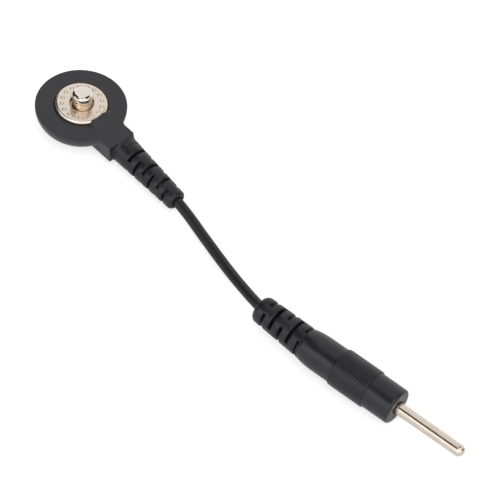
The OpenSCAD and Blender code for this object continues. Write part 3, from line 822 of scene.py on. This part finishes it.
class LEAD_OT_stud(bpy.types.Operator):
    """Turn the stud"""

    bl_idname = "lead.stud"
    bl_label = "Stud"

    def execute(self, context):
        look = context.scene.lead_metal
        top = plate_top()
        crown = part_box("snap_stud")[1][2]
        profile = stud_profile(crown, top, look.head_radius, look.neck_radius,
                               look.flange_radius)
        stud = turned("stud", profile, 128, seat(look.stud_shift, look.stud_lean))
        smooth(stud)
        dress(stud, stud_nickel(look, top, crown))
        settle(stud, "stud")
        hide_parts("snap_stud")
        return {"FINISHED"}


class LEAD_OT_boots(bpy.types.Operator):
    """Finish the two slotted boots"""

    bl_idname = "lead.boots"
    bl_label = "Slotted boots"

    def execute(self, context):
        look = context.scene.lead_plastic
        black = plastic("boot_black", look.boot_colour, 0.32, look.grain, patchy=0.5,
                        ior=1.42)
        for name in ("snap_boot", "plug_boot"):
            soften(NODES[name], look.edge_round * 1.8)
            dress(NODES[name], black)
        return {"FINISHED"}


class LEAD_OT_grip(bpy.types.Operator):
    """Finish the plug's grip"""

    bl_idname = "lead.grip"
    bl_label = "Plug grip"

    def execute(self, context):
        look = context.scene.lead_plastic
        soften(NODES["plug_grip"], look.edge_round * 0.5)
        dress(NODES["plug_grip"], plastic("plug_black", look.plug_colour, 0.28, look.grain))
        return {"FINISHED"}


def along_mount(name):
    """Place whose Z runs along a pin mount, from the middle of its straight part."""
    turn = Vector(MOUNTS[name]["axis"]).to_track_quat("Z", "Y").to_matrix().to_4x4()
    return Matrix.Translation(MOUNTS[name]["pos_m"]) @ turn


def pin_profile(radius, half):
    """Half section of the pin: coned root, straight part and round tip."""
    cone = 0.2 * MM
    return (
        [(0, -half - cone), (radius * 0.75, -half - cone)]
        + line((radius, -half), (radius, half), 24)
        + arc((0, half), (radius, radius), 0, 90, 16)
    )


class LEAD_OT_pin(bpy.types.Operator):
    """Turn the contact pin"""

    bl_idname = "lead.pin"
    bl_label = "Contact pin"

    def execute(self, context):
        look = context.scene.lead_metal
        profile = pin_profile(look.pin_radius, look.pin_length / 2)
        pin = turned("pin", profile, 96, along_mount("contact_pin"))
        smooth(pin)
        dress(pin, metal("pin_nickel", look.pin_colour, 0.14, 0.22))
        settle(pin, "pin")
        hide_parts("contact_pin")
        return {"FINISHED"}


class LEAD_OT_inside(bpy.types.Operator):
    """Finish the pieces inside both ends"""

    bl_idname = "lead.inside"
    bl_label = "Inner pieces"

    def execute(self, context):
        look = context.scene.lead_plastic
        inner = plastic("inner_grey", look.core_colour, 0.5, look.grain)
        tan = plastic("resistor_tan", (0.45, 0.30, 0.16), 0.3, look.grain)
        tinned = metal("tinned_brass", (0.72, 0.66, 0.52), 0.25, 0.4)
        steel = metal("washer_steel", (0.60, 0.60, 0.60), 0.3, 0.45)
        copper = metal("bare_copper", (0.78, 0.42, 0.26), 0.3, 0.45)
        finishes = {
            "snap_core": inner,
            "pin_holder": inner,
            "rivet_post": tinned,
            "ring_terminal": tinned,
            "crimp_sleeve": tinned,
            "cord_ferrule": tinned,
            "backing_washer": steel,
            "series_resistor": tan,
        }
        for name, finish in finishes.items():
            soften(NODES[name], 0)
            dress(NODES[name], finish)
        dress(NODES["cord_conductor"], copper)
        return {"FINISHED"}


class LEAD_PT_panel(bpy.types.Panel):
    """Lists the steps of the lead"""

    bl_idname = "LEAD_PT_panel"
    bl_label = "Adapter lead"
    bl_space_type = "VIEW_3D"
    bl_region_type = "UI"
    bl_category = "Lead"

    def draw(self, context):
        for step in STEPS:
            self.layout.operator(step.bl_idname)
        for group in GROUPS:
            values = getattr(context.scene, group)
            for name in values.__annotations__:
                self.layout.prop(values, name)


GROUPS = {
    "lead_cord": LeadCord,
    "lead_plastic": LeadPlastic,
    "lead_metal": LeadMetal,
    "lead_stage": LeadStage,
}
STEPS = [
    LEAD_OT_stage,
    LEAD_OT_cord,
    LEAD_OT_housing,
    LEAD_OT_flash,
    LEAD_OT_plate,
    LEAD_OT_stud,
    LEAD_OT_boots,
    LEAD_OT_grip,
    LEAD_OT_pin,
    LEAD_OT_inside,
]


def register():
    """Make the settings, the steps and the panel known."""
    for name, group in GROUPS.items():
        bpy.utils.register_class(group)
        setattr(bpy.types.Scene, name, bpy.props.PointerProperty(type=group))
    for step in STEPS:
        bpy.utils.register_class(step)
    bpy.utils.register_class(LEAD_PT_panel)


def unregister():
    """Take the panel, the steps and the settings away again."""
    bpy.utils.unregister_class(LEAD_PT_panel)
    for step in reversed(STEPS):
        bpy.utils.unregister_class(step)
    for name, group in GROUPS.items():
        delattr(bpy.types.Scene, name)
        bpy.utils.unregister_class(group)


def main():
    """Run every step."""
    register()
    for step in STEPS:
        group, name = step.bl_idname.split(".")
        getattr(getattr(bpy.ops, group), name)()
    bpy.context.view_layer.update()


if __name__ == "__main__":
    main()
